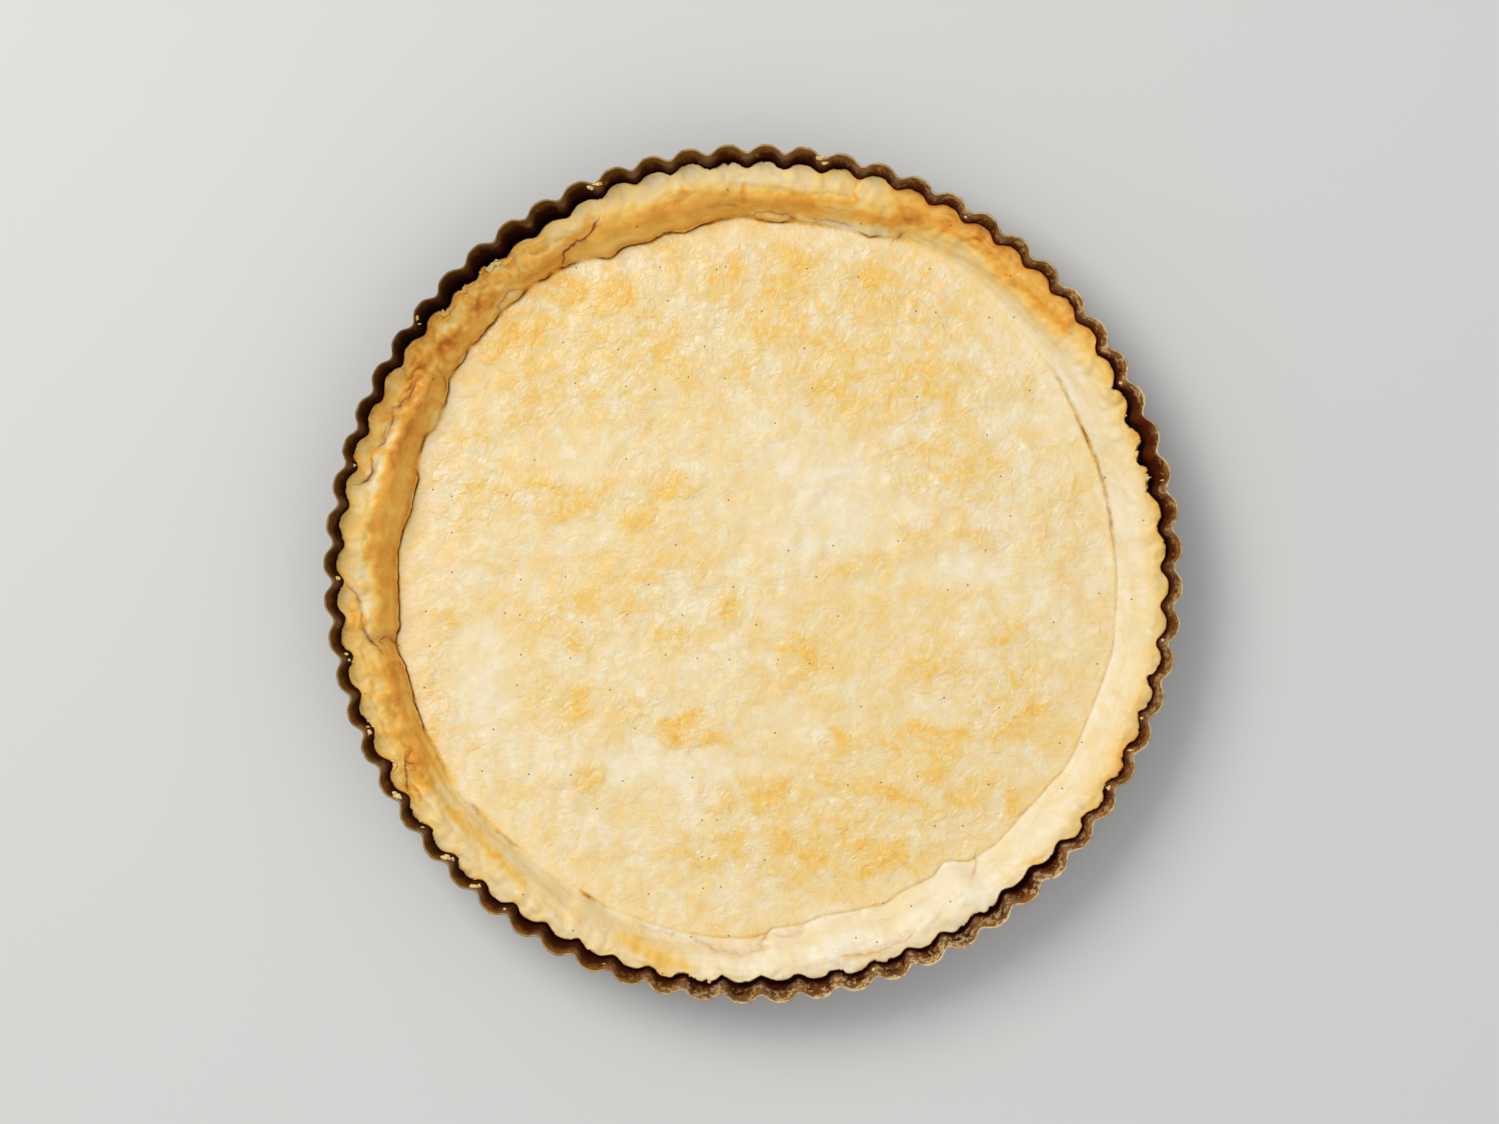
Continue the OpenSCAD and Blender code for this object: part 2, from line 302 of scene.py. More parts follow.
def bridge(a, b):
    """Faces between two rings of vertex numbers, of which one may have half as many or a single one."""
    if len(a) < len(b):
        return [face[::-1] for face in bridge(b, a)]
    after = a[1:] + a[:1]
    if len(b) == 1:
        return [(i, j, b[0]) for i, j in zip(a, after)]
    inner_after = b[1:] + b[:1]
    if len(a) == len(b):
        return list(zip(a, after, inner_after, b))
    faces = []
    for k, (i, j) in enumerate(zip(b, inner_after)):
        faces.append((a[2 * k], a[2 * k + 1], i))
        faces.append((a[2 * k + 1], after[2 * k + 1], j, i))
    return faces


def lathe(name, rings, closed, fields=None):
    """A mesh object of rings of points, each joined to the next. fields are values of each vertex by name."""
    numbers, faces, first = [], [], 0
    for ring in rings:
        numbers.append(list(range(first, first + len(ring))))
        first += len(ring)
    for a, b in zip(numbers, numbers[1:] + numbers[:1] if closed else numbers[1:]):
        faces += bridge(a, b)
    return mesh_object(name, np.concatenate(rings), faces, fields or {})


def in_scene(name, data):
    """A new object of the scene with this mesh, light or camera."""
    made = bpy.data.objects.new(name, data)
    bpy.context.scene.collection.objects.link(made)
    return made


def mesh_object(name, points, faces, fields):
    """A smooth-shaded mesh object with its normals outwards and its fields as attributes."""
    mesh = bpy.data.meshes.new(name)
    mesh.from_pydata([tuple(p) for p in points], [], faces)
    for field, values in fields.items():
        mesh.attributes.new(field, "FLOAT", "POINT").data.foreach_set("value", np.ravel(values))
    whole = bmesh.new()
    whole.from_mesh(mesh)
    bmesh.ops.recalc_face_normals(whole, faces=whole.faces)
    whole.to_mesh(mesh)
    whole.free()
    mesh.shade_smooth()
    return in_scene(name, mesh)


# --- the fluted ring ---

def flute_pinch(angle):
    """How far the flutes pinch the wall in, from 0 on a crest to 1 in a valley, with their slight drift."""
    drift = 0.0014 * np.sin(7 * angle + 1.0) + 0.0011 * np.sin(19 * angle + 2.3)
    even = 0.94 + 0.06 * np.sin(23 * angle + 0.7) * np.sin(11 * angle)
    return even * ((1 - np.cos(FLUTES * (angle + drift))) / 2) ** FLUTE_SHARPNESS


def wall_radius(angle, z, inset):
    """Radius of the fluted wall at height z, set in from its outer face by inset."""
    dent = 0.2 * MM * (1 + np.cos(angle + 0.6)) * (z / RING_H) ** 4
    crest = RIM_R - (RING_H - z) * WALL_SLOPE - inset - dent
    return crest * (1 - FLUTE_DEPTH / RIM_R * flute_pinch(angle))


def ring_rows(angle, rim):
    """The sheet's rings: up outside, over the rim, down inside and round the ledge, and 1 for each inside."""
    foot = 1.7 * MM
    edge = [(0, -0.12), (0.06, -0.03), (0.16, 0), (0.46, 0), (0.57, -0.03), (0.627, -0.12)]
    inner_bend = [(0.70, 1.25), (0.95, 0.85), (1.35, 0.65), (1.9, 0.6)]
    outer_bend = [(1.6, 0), (1.05, 0.03), (0.6, 0.2), (0.25, 0.55), (0.07, 1.05)]
    hole = [(0.12, 0.6), (0.02, 0.55), (0, 0.3), (0.02, 0.05), (0.12, 0)]
    ledge = wall_radius(angle, foot, 1.9 * MM) - HOLE_R
    heights = np.linspace(foot, rim, 13)
    rows = [(wall_radius(angle, z, 0), z) for z in heights]
    rows += [(wall_radius(angle, RING_H, inset * MM), RING_H + z * MM) for inset, z in edge]
    rows += [(wall_radius(angle, z, WALL_THICK), z) for z in heights[::-1]]
    rows += [(wall_radius(angle, foot, inset * MM), z * MM) for inset, z in inner_bend]
    rows += [(HOLE_R + share * ledge, SHEET) for share in (0.75, 0.5, 0.25)]
    rows += [(HOLE_R + inset * MM, z * MM) for inset, z in hole]
    rows += [(HOLE_R + share * ledge, 0) for share in (0.25, 0.5, 0.75)]
    rows += [(wall_radius(angle, foot, inset * MM), z * MM) for inset, z in outer_bend]
    first, end = len(heights) + len(edge) // 2, len(rows) - len(outer_bend)
    rings = [ring_points(angle, radius, z) for radius, z in rows]
    return rings, [float(first <= i < end) for i in range(len(rows))]


def fluted_ring():
    """The pressed ring as a closed sheet, with where its steel is inside or worn, how flaked and how lit each
    side is, up to where it is burnt or painted with the gap's shade, and where its cut edge gets a painted
    highlight.
    """
    angle = directions(FLUTES * FLUTE_POINTS)
    rim = RING_H - 0.25 * MM
    rings, inside = ring_rows(angle, rim)
    height = np.concatenate(rings)[:, 2]
    inside = np.repeat(inside, len(angle))
    pinch = np.tile(flute_pinch(angle), len(rings))
    fields = {
        "inside": inside,
        "worn": inside * pinch + (1 - inside) * (1 - pinch),
        "flaked_and_lit": np.tile(around(FLAKED_AND_LIT, angle), len(rings)),
        "scorched_and_shaded": np.tile(around(SCORCHED_AND_SHADED, angle) * MM, len(rings)) - height,
        "cut": np.clip((height - rim) / (0.15 * MM), 0, 1),
    }
    ring = lathe("tart_ring", rings, True, fields)
    ring.data.materials.append(patina_steel())
    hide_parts("fluted_ring")
    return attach(ring, "ring")


# --- the loose base ---

def loose_base():
    """The loose disc with its flange, its pressed step and faint rings from spinning."""
    low, flange = BASE_LOW.z, BASE_HIGH.z - SHEET
    outer, step = BASE_HIGH.x, BASE_STEP_R
    under = [(outer - 0.12 * MM, flange), (step + 0.6 * MM, flange), (step - 0.1 * MM, flange - 0.08 * MM),
             (step - 0.6 * MM, low + 0.1 * MM), (step - 1.3 * MM, low)]
    above = [(step - 1.8 * MM, low + SHEET), (step - 1.1 * MM, low + SHEET + 0.1 * MM),
             (step - 0.6 * MM, flange + SHEET - 0.08 * MM), (step + 0.2 * MM, flange + SHEET),
             (outer - 0.12 * MM, flange + SHEET)]
    rim = [(outer - 0.02 * MM, flange + SHEET * 0.9), (outer, flange + SHEET / 2),
           (outer - 0.02 * MM, flange + SHEET * 0.1)]
    angle = directions(DISC_POINTS)
    spacing = 4 * MM
    inner = np.arange(spacing, step - 2 * MM, spacing)
    rows = [(r, low + 0.03 * MM * math.sin(r / (9 * MM)) ** 2) for r in inner]
    rows += under[::-1] + rim[::-1] + above[::-1]
    rows += [(r, low + SHEET) for r in np.arange(step - spacing, 3 * MM, -spacing)]
    rings = [ring_points(angle, r, z) for r, z in rows]
    rings = [np.array([[0, 0, low]])] + rings + [np.array([[0, 0, low + SHEET]])]
    base = lathe("loose_base_disc", rings, False)
    base.data.materials.append(tinned_steel())
    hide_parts("loose_base")
    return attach(base, "base")


# --- the pastry ---

def along_line(points, x, y):
    """Distance in millimetres to a line of (degrees, radius) points, and the side: positive on its left."""
    at = [(r * math.cos(math.radians(d)), r * math.sin(math.radians(d))) for d, r in points]
    nearest = np.full_like(x, 1e9)
    side = np.ones_like(x)
    for (ax, ay), (bx, by) in zip(at, at[1:]):
        dx, dy = bx - ax, by - ay
        share = np.clip(((x - ax) * dx + (y - ay) * dy) / (dx * dx + dy * dy), 0, 1)
        gap = np.hypot(x - ax - share * dx, y - ay - share * dy)
        closer = gap < nearest
        side = np.where(closer, np.sign(dx * (y - ay) - dy * (x - ax)), side)
        nearest = np.where(closer, gap, nearest)
    return nearest, side


def wandered(x, y, reach, size):
    """x and y in millimetres, each moved by up to about reach, in waves of about that size."""
    place = np.stack([x, y, 0 * x], axis=-1) / size
    return x + reach * fractal(place, 3), y + reach * fractal(place + 40, 3)


def stains_and_painted_light(x, y):
    """How much the stains, painted shade and painted highlights brown the pastry at x and y in millimetres,
    below 0 where they pale it.
    """
    total = np.zeros_like(x)
    x, y = wandered(x, y, reach=1.4, size=4.0)
    for strength, width, points in STAINS_AND_PAINTED_LIGHT:
        total += strength * np.exp(-(along_line(points, x, y)[0] / width) ** 3)
    return total


def flapped(x, y):
    """How far the flaps raise the pastry at x and y, in millimetres."""
    total = np.zeros_like(x)
    x, y = wandered(x, y, reach=0.7, size=3.0)
    for height, reach, points in FLAPS:
        gap, side = along_line(points, x, y)
        raised = np.clip(0.5 + side * gap / 0.6, 0, 1)
        total = np.maximum(total, height * raised * np.exp(-(gap / reach) ** 2))
    return total


def creviced(x, y):
    """How many half widths away the nearest crevice is, below 0 on its right, and how dark its painted shadow
    is there.
    """
    nearest, offset, painted_shade = np.full_like(x, 1e9), np.full_like(x, CREVICE_END), np.zeros_like(x)
    x, y = wandered(x, y, reach=0.7, size=3.0)
    for strength, width, points in CREVICES:
        gap, side = along_line(points, x, y)
        closer = gap < nearest
        offset = np.where(closer, side * np.minimum(gap / width, CREVICE_END), offset)
        painted_shade = np.where(closer, strength * np.clip((3 - gap) / 1.5, 0, 1), painted_shade)
        nearest = np.where(closer, gap, nearest)
    return offset, painted_shade


def browned(angle):
    """How browned the wall is near its foot, halfway up and at its top, by direction."""
    return [around({degrees: parts[i] for degrees, parts in BROWNED.items()}, angle) for i in range(3)]


def toasted_floor(x, y):
    """How browned the pastry's floor is at x and y in millimetres."""
    floor = np.full_like(x, 0.34)
    x, y = wandered(x, y, reach=3.0, size=8.0)
    for cx, cy, wide, high, strength in FLOOR_TOAST:
        away = ((x - cx) / wide) ** 2 + ((y - cy) / high) ** 2
        floor += 0.85 * strength * np.exp(-away ** 3)
    return floor


def toasted_wall(x, y, angle, radius):
    """How browned the pastry's wall is, with its stains, and paler on its lumps than between them: painted
    highlights on the lumps and painted shade between them.
    """
    foot, middle, top = browned(angle)
    rise = np.clip((radius - 113) / 5, 0, 1)
    edge = np.clip((radius - 118) / 5, 0, 1)
    wall = foot * (1 - 0.25 * np.clip((114 - radius) / 4, 0, 1)) * (1 - rise) + middle * rise
    wall = wall * (1 - edge) + top * edge + stains_and_painted_light(x, y)
    # Painted light: the lumps are paler as painted highlights, and the hollows between them browner as
    # painted shade
    wall += (0.24 - 0.40 * lumps(x, y)) * np.clip(around(LUMPY, angle) - 0.2, 0, 1)
    slows = 1.05
    return np.minimum(wall, slows + 0.45 * (wall - slows))


def toasted(x, y):
    """How browned the top of the pastry is at x and y in millimetres: 0 is pale, 1 amber and 2 dark."""
    angle, radius = np.arctan2(y, x), np.hypot(x, y)
    crease = around(CREASE_R, angle)
    on_wall = np.clip(0.5 + (radius - crease) / 1.2, 0, 1)
    # Painted shade: a browner band on both sides of a cracked crease, where the wall shades the floor
    crease_shade = 0.45 * around(CRACKED, angle) * np.exp(-((radius - crease) / 0.9) ** 2)
    inset = smooth_edge(angle) / MM - radius
    rim = (0.12 + 0.45 * browned(angle)[2]) * (1 - 0.2 * around(TORN, angle))
    rim = rim * np.exp(-np.maximum(inset, 0) / 1.2)
    wall = toasted_wall(x, y, angle, radius)
    return toasted_floor(x, y) * (1 - on_wall) + wall * on_wall + crease_shade + rim


def roughened(x, y):
    """How wrinkled the pastry is at x and y in millimetres, from 0 where it is smooth to 1."""
    angle, radius = np.arctan2(y, x), np.hypot(x, y)
    floor = np.clip((toasted(x, y) - 0.15) / 0.28, 0.4, 1)
    wall = np.clip(0.2 + 0.35 * around(LUMPY, angle), 0.2, 0.7)
    on_wall = np.clip(0.5 + (radius - around(CREASE_R, angle)) / 2, 0, 1)
    return floor * (1 - on_wall) + wall * on_wall


def smooth_edge(angle):
    """Radius of the outer edge of the pastry's top before it is torn."""
    gap = around(PASTRY_GAP, angle) * MM
    return wall_radius(angle, around(TOP_Z, angle) * MM, WALL_THICK + gap) + 0.22 * gap * flute_pinch(angle)


def wavering(angle, waves, level):
    """Noise from about -1 to 1 by direction, finer with more waves. Each level has its own."""
    return fractal(ring_points(angle, waves, level), 3)


def crust_edge(angle):
    """The torn outer edge of the pastry's top: how ragged it is, its radius and its height."""
    chunk = np.clip(1.7 * wavering(angle, 48.0, 3.0) - 0.1, 0, 1)
    ragged = chunk * around(TORN, angle) * 1.5 * MM
    top = around(TOP_Z, angle) * MM + 0.3 * MM * wavering(angle, 20.0, 0.0)
    return ragged, smooth_edge(angle) - ragged, top


def pastry_profile(angle):
    """Rows of radius and height from the crease over the wall to the torn edge, and the crease."""
    base = around(CREASE_R, angle) * MM
    jagged = 0.35 * MM * wavering(angle, 45.0, 7.0)
    cracked = np.clip(around(CRACKED, angle), 0, 1)
    ragged, edge, top = crust_edge(angle)
    curl = around(CURL, angle) * MM
    floor = PASTRY_FLOOR_Z
    rise = top - floor
    shoulder = base + 8.0 * MM
    plump = np.clip(edge + ragged - shoulder, 2 * MM, None)
    sharp = [
        (0 * MM, -0.55 * MM), (0.12 * MM, -0.2 * MM), (-0.35 * MM, 0.8 * MM), (0.3 * MM, 2.6 * MM),
        (2.2 * MM, 0.45 * rise), (4.9 * MM, 0.72 * rise),
    ]
    flowing = [
        (0 * MM, 0.3 * MM), (0.8 * MM, 0.55 * MM), (1.7 * MM, 1.1 * MM), (2.8 * MM, 2.4 * MM),
        (4.2 * MM, 0.42 * rise), (5.9 * MM, 0.70 * rise),
    ]
    keys = [(base + share * jagged + cracked * a + (1 - cracked) * c, floor + cracked * b + (1 - cracked) * d)
            for share, (a, b), (c, d) in zip((1, 1, 0.8, 0.4, 0, 0), sharp, flowing)]
    keys += [
        (shoulder + 0.05 * plump, top - 1.3 * MM),
        (shoulder + 0.35 * plump, top - 0.2 * MM),
        (shoulder + 0.68 * plump, top + 0.05 * MM + 0.4 * curl),
        (edge - 0.35 * MM, top - 0.05 * MM - 0.4 * ragged + curl),
        (edge, top - 0.9 * MM),
    ]
    rows = spline(np.array([[r + 0 * angle, z + 0 * angle] for r, z in keys]).transpose(0, 2, 1),
                  [2, 2, 4, 5, 6, 6, 6, 5, 4, 4])
    return rows, base + jagged


def normals_of(grid):
    """Normals of a grid of points whose second axis closes on itself."""
    along = np.roll(grid, -1, axis=1) - np.roll(grid, 1, axis=1)
    across = np.gradient(grid, axis=0)
    cross = np.cross(along, across)
    return cross / np.linalg.norm(cross, axis=-1, keepdims=True)


def puffs(points):
    """Puffs about one unit across: 1 along their crests, and below 0 in the deepest hollows between."""
    return 1 - np.abs(fractal(points, 2)) * 2.2


def on_wall_top(x, y):
    """How far onto the top of the wall the point at x and y in millimetres is, from 0 to 1."""
    return np.clip((np.hypot(x, y) - WALL_TOP_R) / 3, 0, 1)


def lumps(x, y):
    """How high the lumps of the wall's top stand at x and y in millimetres, at most 1."""
    return puffs(np.stack([x, y, 0 * x], axis=-1) / 6.0) * on_wall_top(x, y)


def wall_lift(grid, rows, angle):
    """How far its folds, lumps, wrinkles, flaps and outer lobes raise the wall, in millimetres."""
    x, y = grid[..., 0] / MM, grid[..., 1] / MM
    lumpy = around(LUMPY, angle)
    across = rows.sum(axis=-1) / MM
    turn = np.broadcast_to(angle, across.shape)
    folds = fractal(np.stack([9 * np.cos(turn), 9 * np.sin(turn), across / 6], axis=-1), 3)
    lift = 0.45 * folds * (0.5 + lumpy) + 1.3 * lumps(x, y) * lumpy
    wrinkles = fractal(grid / (2.6 * MM) + 20, 2)
    lift += 0.24 * wrinkles * (0.15 + 0.35 * lumpy * on_wall_top(x, y))
    lift += flapped(x, y)
    lobes = (1 - flute_pinch(angle)) * np.exp(-((np.hypot(x, y) - LOBE_R) / 3.2) ** 2)
    return lift + 1.1 * lobes * np.clip(lumpy - 0.3, 0, 1)


def pastry_wall(angle):
    """Points of the wall's rows with all that raises it, how strongly each point is painted with the crack's
    shade, and the crease.
    """
    rows, crease = pastry_profile(angle)
    grid = ring_points(angle, rows[..., 0], rows[..., 1])
    number = np.arange(len(rows))
    fade = np.clip(number / 5, 0, 1) * np.clip((len(rows) - 1 - number) / 5, 0.1, 1)
    lift = wall_lift(grid, rows, angle) * fade[:, None] * MM
    grid = grid + normals_of(grid) * lift[..., None]
    crack_shade = np.zeros(rows.shape[:-1])
    # How strongly the crack's painted shade darkens each of the lowest rows
    for row, share in enumerate([1.0, 1.0, 0.85, 0.55, 0.25, 0.1]):
        crack_shade[row] = share * np.clip(around(CRACKED, angle), 0, 1)
    return grid, crack_shade, crease


def pastry_floor(count, crease, inwards):
    """A ring of the floor that many millimetres in from the crease, and how strongly the crack's painted
    shade darkens it.
    """
    angle = directions(count)
    radius = crease[::len(crease) // count] * (1 - inwards * MM / crease.mean())
    cracked = np.clip(around(CRACKED, angle), 0, 1)
    dip = math.exp(-(inwards / 0.72) ** 2)
    fillet = 0.3 * (1 - cracked) * math.exp(-(inwards / 2.5) ** 2)
    ring = ring_points(angle, radius, 0.0)
    lift = 0.55 * fractal(ring / (26 * MM), 2) + 0.30 * puffs(ring / (9 * MM) + 9)
    lift += 0.16 * fractal(ring / (4 * MM) + 30, 3)
    rise = 0.6 * (1 - math.exp(-inwards / 9)) + lift * min(inwards / 5, 1)
    ring[:, 2] = PASTRY_FLOOR_Z + (rise + fillet - 0.55 * cracked * dip) * MM
    return ring, dip * cracked


def pastry_outside(angle):
    """Rings of the wall's outside from the torn edge down to its foot on the loose base."""
    top = crust_edge(angle)[2]
    low, high = 2.4 * MM, top - 2.6 * MM
    rings = []
    for share in (0.9, 0.75, 0.6, 0.45, 0.3, 0.15, 0.0):
        z = low + share * (high - low)
        inset = WALL_THICK + MM + share ** 2 * (around(PASTRY_GAP, angle) - 1) * MM
        rings.append(ring_points(angle, wall_radius(angle, z, inset), z))
    foot = wall_radius(angle, 1.6 * MM, WALL_THICK + 1.3 * MM)
    rings.append(ring_points(angle, foot, 1.75 * MM))
    rings.append(ring_points(angle, foot - 0.7 * MM, PASTRY_LOW.z + 0.52 * MM))
    return rings


def floor_rings(crease, finest):
    """Rings of the floor from its middle to the crease, coarser inwards, and how strongly the crack's painted
    shade darkens each.
    """
    rings, crack_shades = [], []
    shortest_edge = 0.8
    for inwards in [0.3, 0.8, 1.5, 2.4, 3.4, 4.6] + list(np.arange(5.9, 107, 1.4)):
        count = finest
        length = 2 * math.pi * (crease.mean() / MM - inwards)
        while count > finest // 8 and length / count < shortest_edge:
            count //= 2
        ring, crack_shade = pastry_floor(count, crease, inwards)
        rings.insert(0, ring)
        crack_shades.insert(0, crack_shade)
    middle = np.array([[0, 0, rings[0][:, 2].mean()]])
    return [middle] + rings, [np.zeros(1)] + crack_shades


def underside(count):
    """Rings of the flat underside, whose middle fills the loose base's pressed step."""
    low, flange = PASTRY_LOW.z, PASTRY_LOW.z + 0.5 * MM
    plug = BASE_STEP_R - 2 * MM
    rings = [
        (count, plug + 3 * MM, flange), (count, plug + 0.4 * MM, flange), (count, plug, low),
        (count // 2, plug - 5 * MM, low), (count // 4, 70 * MM, low),
        (count // 8, 35 * MM, low), (count // 8, 12 * MM, low), (1, 0, low),
    ]
    return [ring_points(directions(number), radius, z) for number, radius, z in rings]


def pastry_shell():
    """The baked shell as one closed mesh: floor, wall, torn edge, fluted outside and flat underside."""
    half = directions(FLUTES * FLUTE_POINTS // 2)
    wall, wall_crack_shade, crease = pastry_wall(directions(FLUTES * FLUTE_POINTS))
    floor, floor_crack_shade = floor_rings(crease, len(half))
    rings = floor + list(wall) + pastry_outside(half) + underside(len(half))
    points = np.concatenate(rings)
    x, y = points[:, 0] / MM, points[:, 1] / MM
    crack_shades = np.concatenate(floor_crack_shade + list(wall_crack_shade))
    crack_shade = np.zeros(len(points))
    crack_shade[:len(crack_shades)] = crack_shades
    offset, painted_shade = creviced(x, y)
    fields = {"toast": toasted(x, y), "rough": roughened(x, y), "crack_shade": crack_shade, "crevice": offset,
              "crevice_shade": painted_shade}
    shell = lathe("baked_pastry", rings, False, fields)
    shell.data.materials.append(baked_pastry())
    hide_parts("pastry_shell")
    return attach(shell, "pastry")


# --- crumbs ---

def crumb(centre, size, seed):
    """Points and faces of one torn crumb: a lumpy, flaky ball."""
    ball = bmesh.new()
    bmesh.ops.create_icosphere(ball, subdivisions=3, radius=0.5)
    points = np.array([v.co for v in ball.verts])
    faces = [tuple(v.index for v in f.verts) for f in ball.faces]
    ball.free()
    swell = 1 + 0.6 * fractal(points * 2.2 + seed * 7.3, 3)
    stretch = np.array([1.0, 0.7 + 0.3 * math.sin(seed * 2.1), 0.6])
    return centre + points * swell[:, None] * stretch * size, faces


def scatter(name, places, toast):
    """One mesh of crumbs at (centre, size) places, as browned as toast says."""
    points, faces, first = [], [], 0
    for seed, (centre, size) in enumerate(places):
        made, their_faces = crumb(centre, size, seed + len(places))
        points.append(made)
        faces += [tuple(i + first for i in f) for f in their_faces]
        first += len(made)
    every = np.concatenate(points)
    none = np.zeros(len(every))
    fields = {"toast": none + toast, "rough": none + 1, "crack_shade": none, "crevice": none + CREVICE_END,
              "crevice_shade": none}
    pieces = mesh_object(name, every, faces, fields)
    pieces.data.materials.append(baked_pastry())
    return pieces


def crumbs():
    """Crumbs of pastry caught in the ring's valleys."""
    places = []
    for degrees, z, size in CRUMBS:
        angle = np.array(math.radians(degrees))
        on_rim = np.clip((z - 22.5) / 1.2, 0, 1)
        radius = wall_radius(angle, z * MM, WALL_THICK) + (0.3 * on_rim - 0.2) * size * MM
        places.append((ring_points(angle, radius, z * MM), size * MM))
    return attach(scatter("ring_crumbs", places, 0.6), "ring")


def torn_bits():
    """Bits of pastry torn loose along the shell's outer edge."""
    places = []
    for degrees, inset, size in BITS:
        angle = np.array(math.radians(degrees))
        _, edge, top = crust_edge(angle)
        places.append((ring_points(angle, edge - inset * MM, top - 0.45 * MM), 0.8 * size * MM))
    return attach(scatter("torn_bits", places, 0.35), "pastry")


# --- materials ---

def linear(red, green, blue):
    """The colour that a screen shows as these values from 0 to 255."""
    return tuple((c / 255 / 12.92 if c < 11 else ((c / 255 + 0.055) / 1.055) ** 2.4) for c in
                 (red, green, blue)) + (1.0,)


class Nodes:
    """Short ways to write a material's nodes."""

    def __init__(self, name):
        self.material = bpy.data.materials.new(name)
        self.material.use_nodes = True
        self.tree = self.material.node_tree
        self.shader = self.tree.nodes["Principled BSDF"]
        self.place = self.add("ShaderNodeTexCoord").outputs["Object"]

    def add(self, kind, inputs=None, **settings):
        """A node with these settings, whose inputs are set to values or linked to sockets."""
        made = self.tree.nodes.new(kind)
        for key, value in settings.items():
            setattr(made, key, value)
        for key, value in (inputs or {}).items():
            self.put(made.inputs[key], value)
        return made

    def put(self, socket, value):
        """Sets a socket to a value, or links another socket to it."""
        if isinstance(value, bpy.types.NodeSocket):
            self.tree.links.new(value, socket)
        else:
            socket.default_value = value

    def surface(self, values):
        """Puts values in the surface's inputs, by name."""
        for key, value in values.items():
            self.put(self.shader.inputs[key], value)

    def field(self, name):
        """A value stored on the mesh's vertices."""
        return self.add("ShaderNodeAttribute", attribute_name=name).outputs["Fac"]

    def noise(self, size, detail=3.0, stretch=(1, 1, 1), rough=0.5, warp=0.0):
        """Noise whose features are about size metres across, divided by stretch along each axis."""
        place = self.add("ShaderNodeMapping", {"Vector": self.place, "Scale": stretch}).outputs[0]
        inputs = {"Vector": place, "Scale": 1 / size, "Detail": detail, "Roughness": rough,
                  "Distortion": warp}
        return self.add("ShaderNodeTexNoise", inputs).outputs["Fac"]

    def math(self, operation, a, b=0.0):
        """Arithmetic on two values."""
        made = self.add("ShaderNodeMath", operation=operation)
        self.put(made.inputs[0], a)
        self.put(made.inputs[1], b)
        return made.outputs[0]

    def times(self, a, b):
        """a times b."""
        return self.math("MULTIPLY", a, b)

    def plus(self, a, b):
        """a plus b."""
        return self.math("ADD", a, b)

    def span(self, value, low, high, to_low=0.0, to_high=1.0):
        """value, with low to high moved to to_low to to_high and clamped."""
        inputs = {"Value": value, "From Min": low, "From Max": high, "To Min": to_low, "To Max": to_high}
        return self.add("ShaderNodeMapRange", inputs).outputs[0]

    def mix(self, share, a, b):
        """Colour a, turning into b as share goes to 1."""
        made = self.add("ShaderNodeMix", data_type="RGBA")
        self.put(made.inputs["Factor"], share)
        self.put(made.inputs[6], a)
        self.put(made.inputs[7], b)
        return made.outputs[2]

    def ramp(self, value, stops):
        """Colours by value, from stops of position, red, green and blue, as linear takes them."""
        made = self.add("ShaderNodeValToRGB", {"Fac": value})
        points = made.color_ramp.elements
        while len(points) < len(stops):
            points.new(0.5)
        for point, (position, *colour) in zip(points, stops):
            point.position = position
            point.color = linear(*colour)
        return made.outputs["Color"]

    def bump(self, height, distance, strength=1.0, under=None):
        """The normal of a surface raised by height times distance metres, on top of another bump."""
        inputs = {"Height": height, "Distance": distance, "Strength": strength}
        if under is not None:
            inputs["Normal"] = under
        return self.add("ShaderNodeBump", inputs).outputs[0]


def shortcrust(n, toast):
    """Shortcrust's colour: cream where toast is 0, amber at 1 and dark at 2."""
    return n.ramp(n.math("DIVIDE", toast, 2.0), [
        (0, 244, 232, 203), (0.12, 240, 219, 170), (0.25, 240, 209, 141), (0.37, 242, 198, 102),
        (0.5, 238, 177, 66), (0.65, 224, 148, 40), (0.8, 190, 102, 10), (1, 134, 70, 8),
    ])


def cells(n, size, channel, **settings):
    """A pattern of cells about size metres wide: the distance to a cell's middle, and a value of its own."""
    made = n.add("ShaderNodeTexVoronoi", {"Vector": n.place, "Scale": 1 / size}, **settings)
    own = n.add("ShaderNodeSeparateColor", {"Color": made.outputs["Color"]}).outputs[channel]
    return made.outputs["Distance"], own


def blisters(n, wrinkle):
    """Small blisters with wrinkled edges in some cells of a pattern, 1 on each."""
    away, own = cells(n, 5.5 * MM, "Red")
    reach = n.plus(away, n.span(wrinkle, 0.3, 0.7, -0.12, 0.12))
    return n.times(n.span(reach, 0.14, 0.34, 1.0, 0.0), n.span(own, 0.60, 0.70))


def pinholes(n):
    """Tiny round specks in some cells of a pattern seen from above, 0.8 in the middle of each."""
    away, own = cells(n, 12 * MM, "Green", voronoi_dimensions="2D")
    return n.times(n.span(away, 0.016, 0.030, 0.8, 0.0), n.math("GREATER_THAN", own, 0.62))


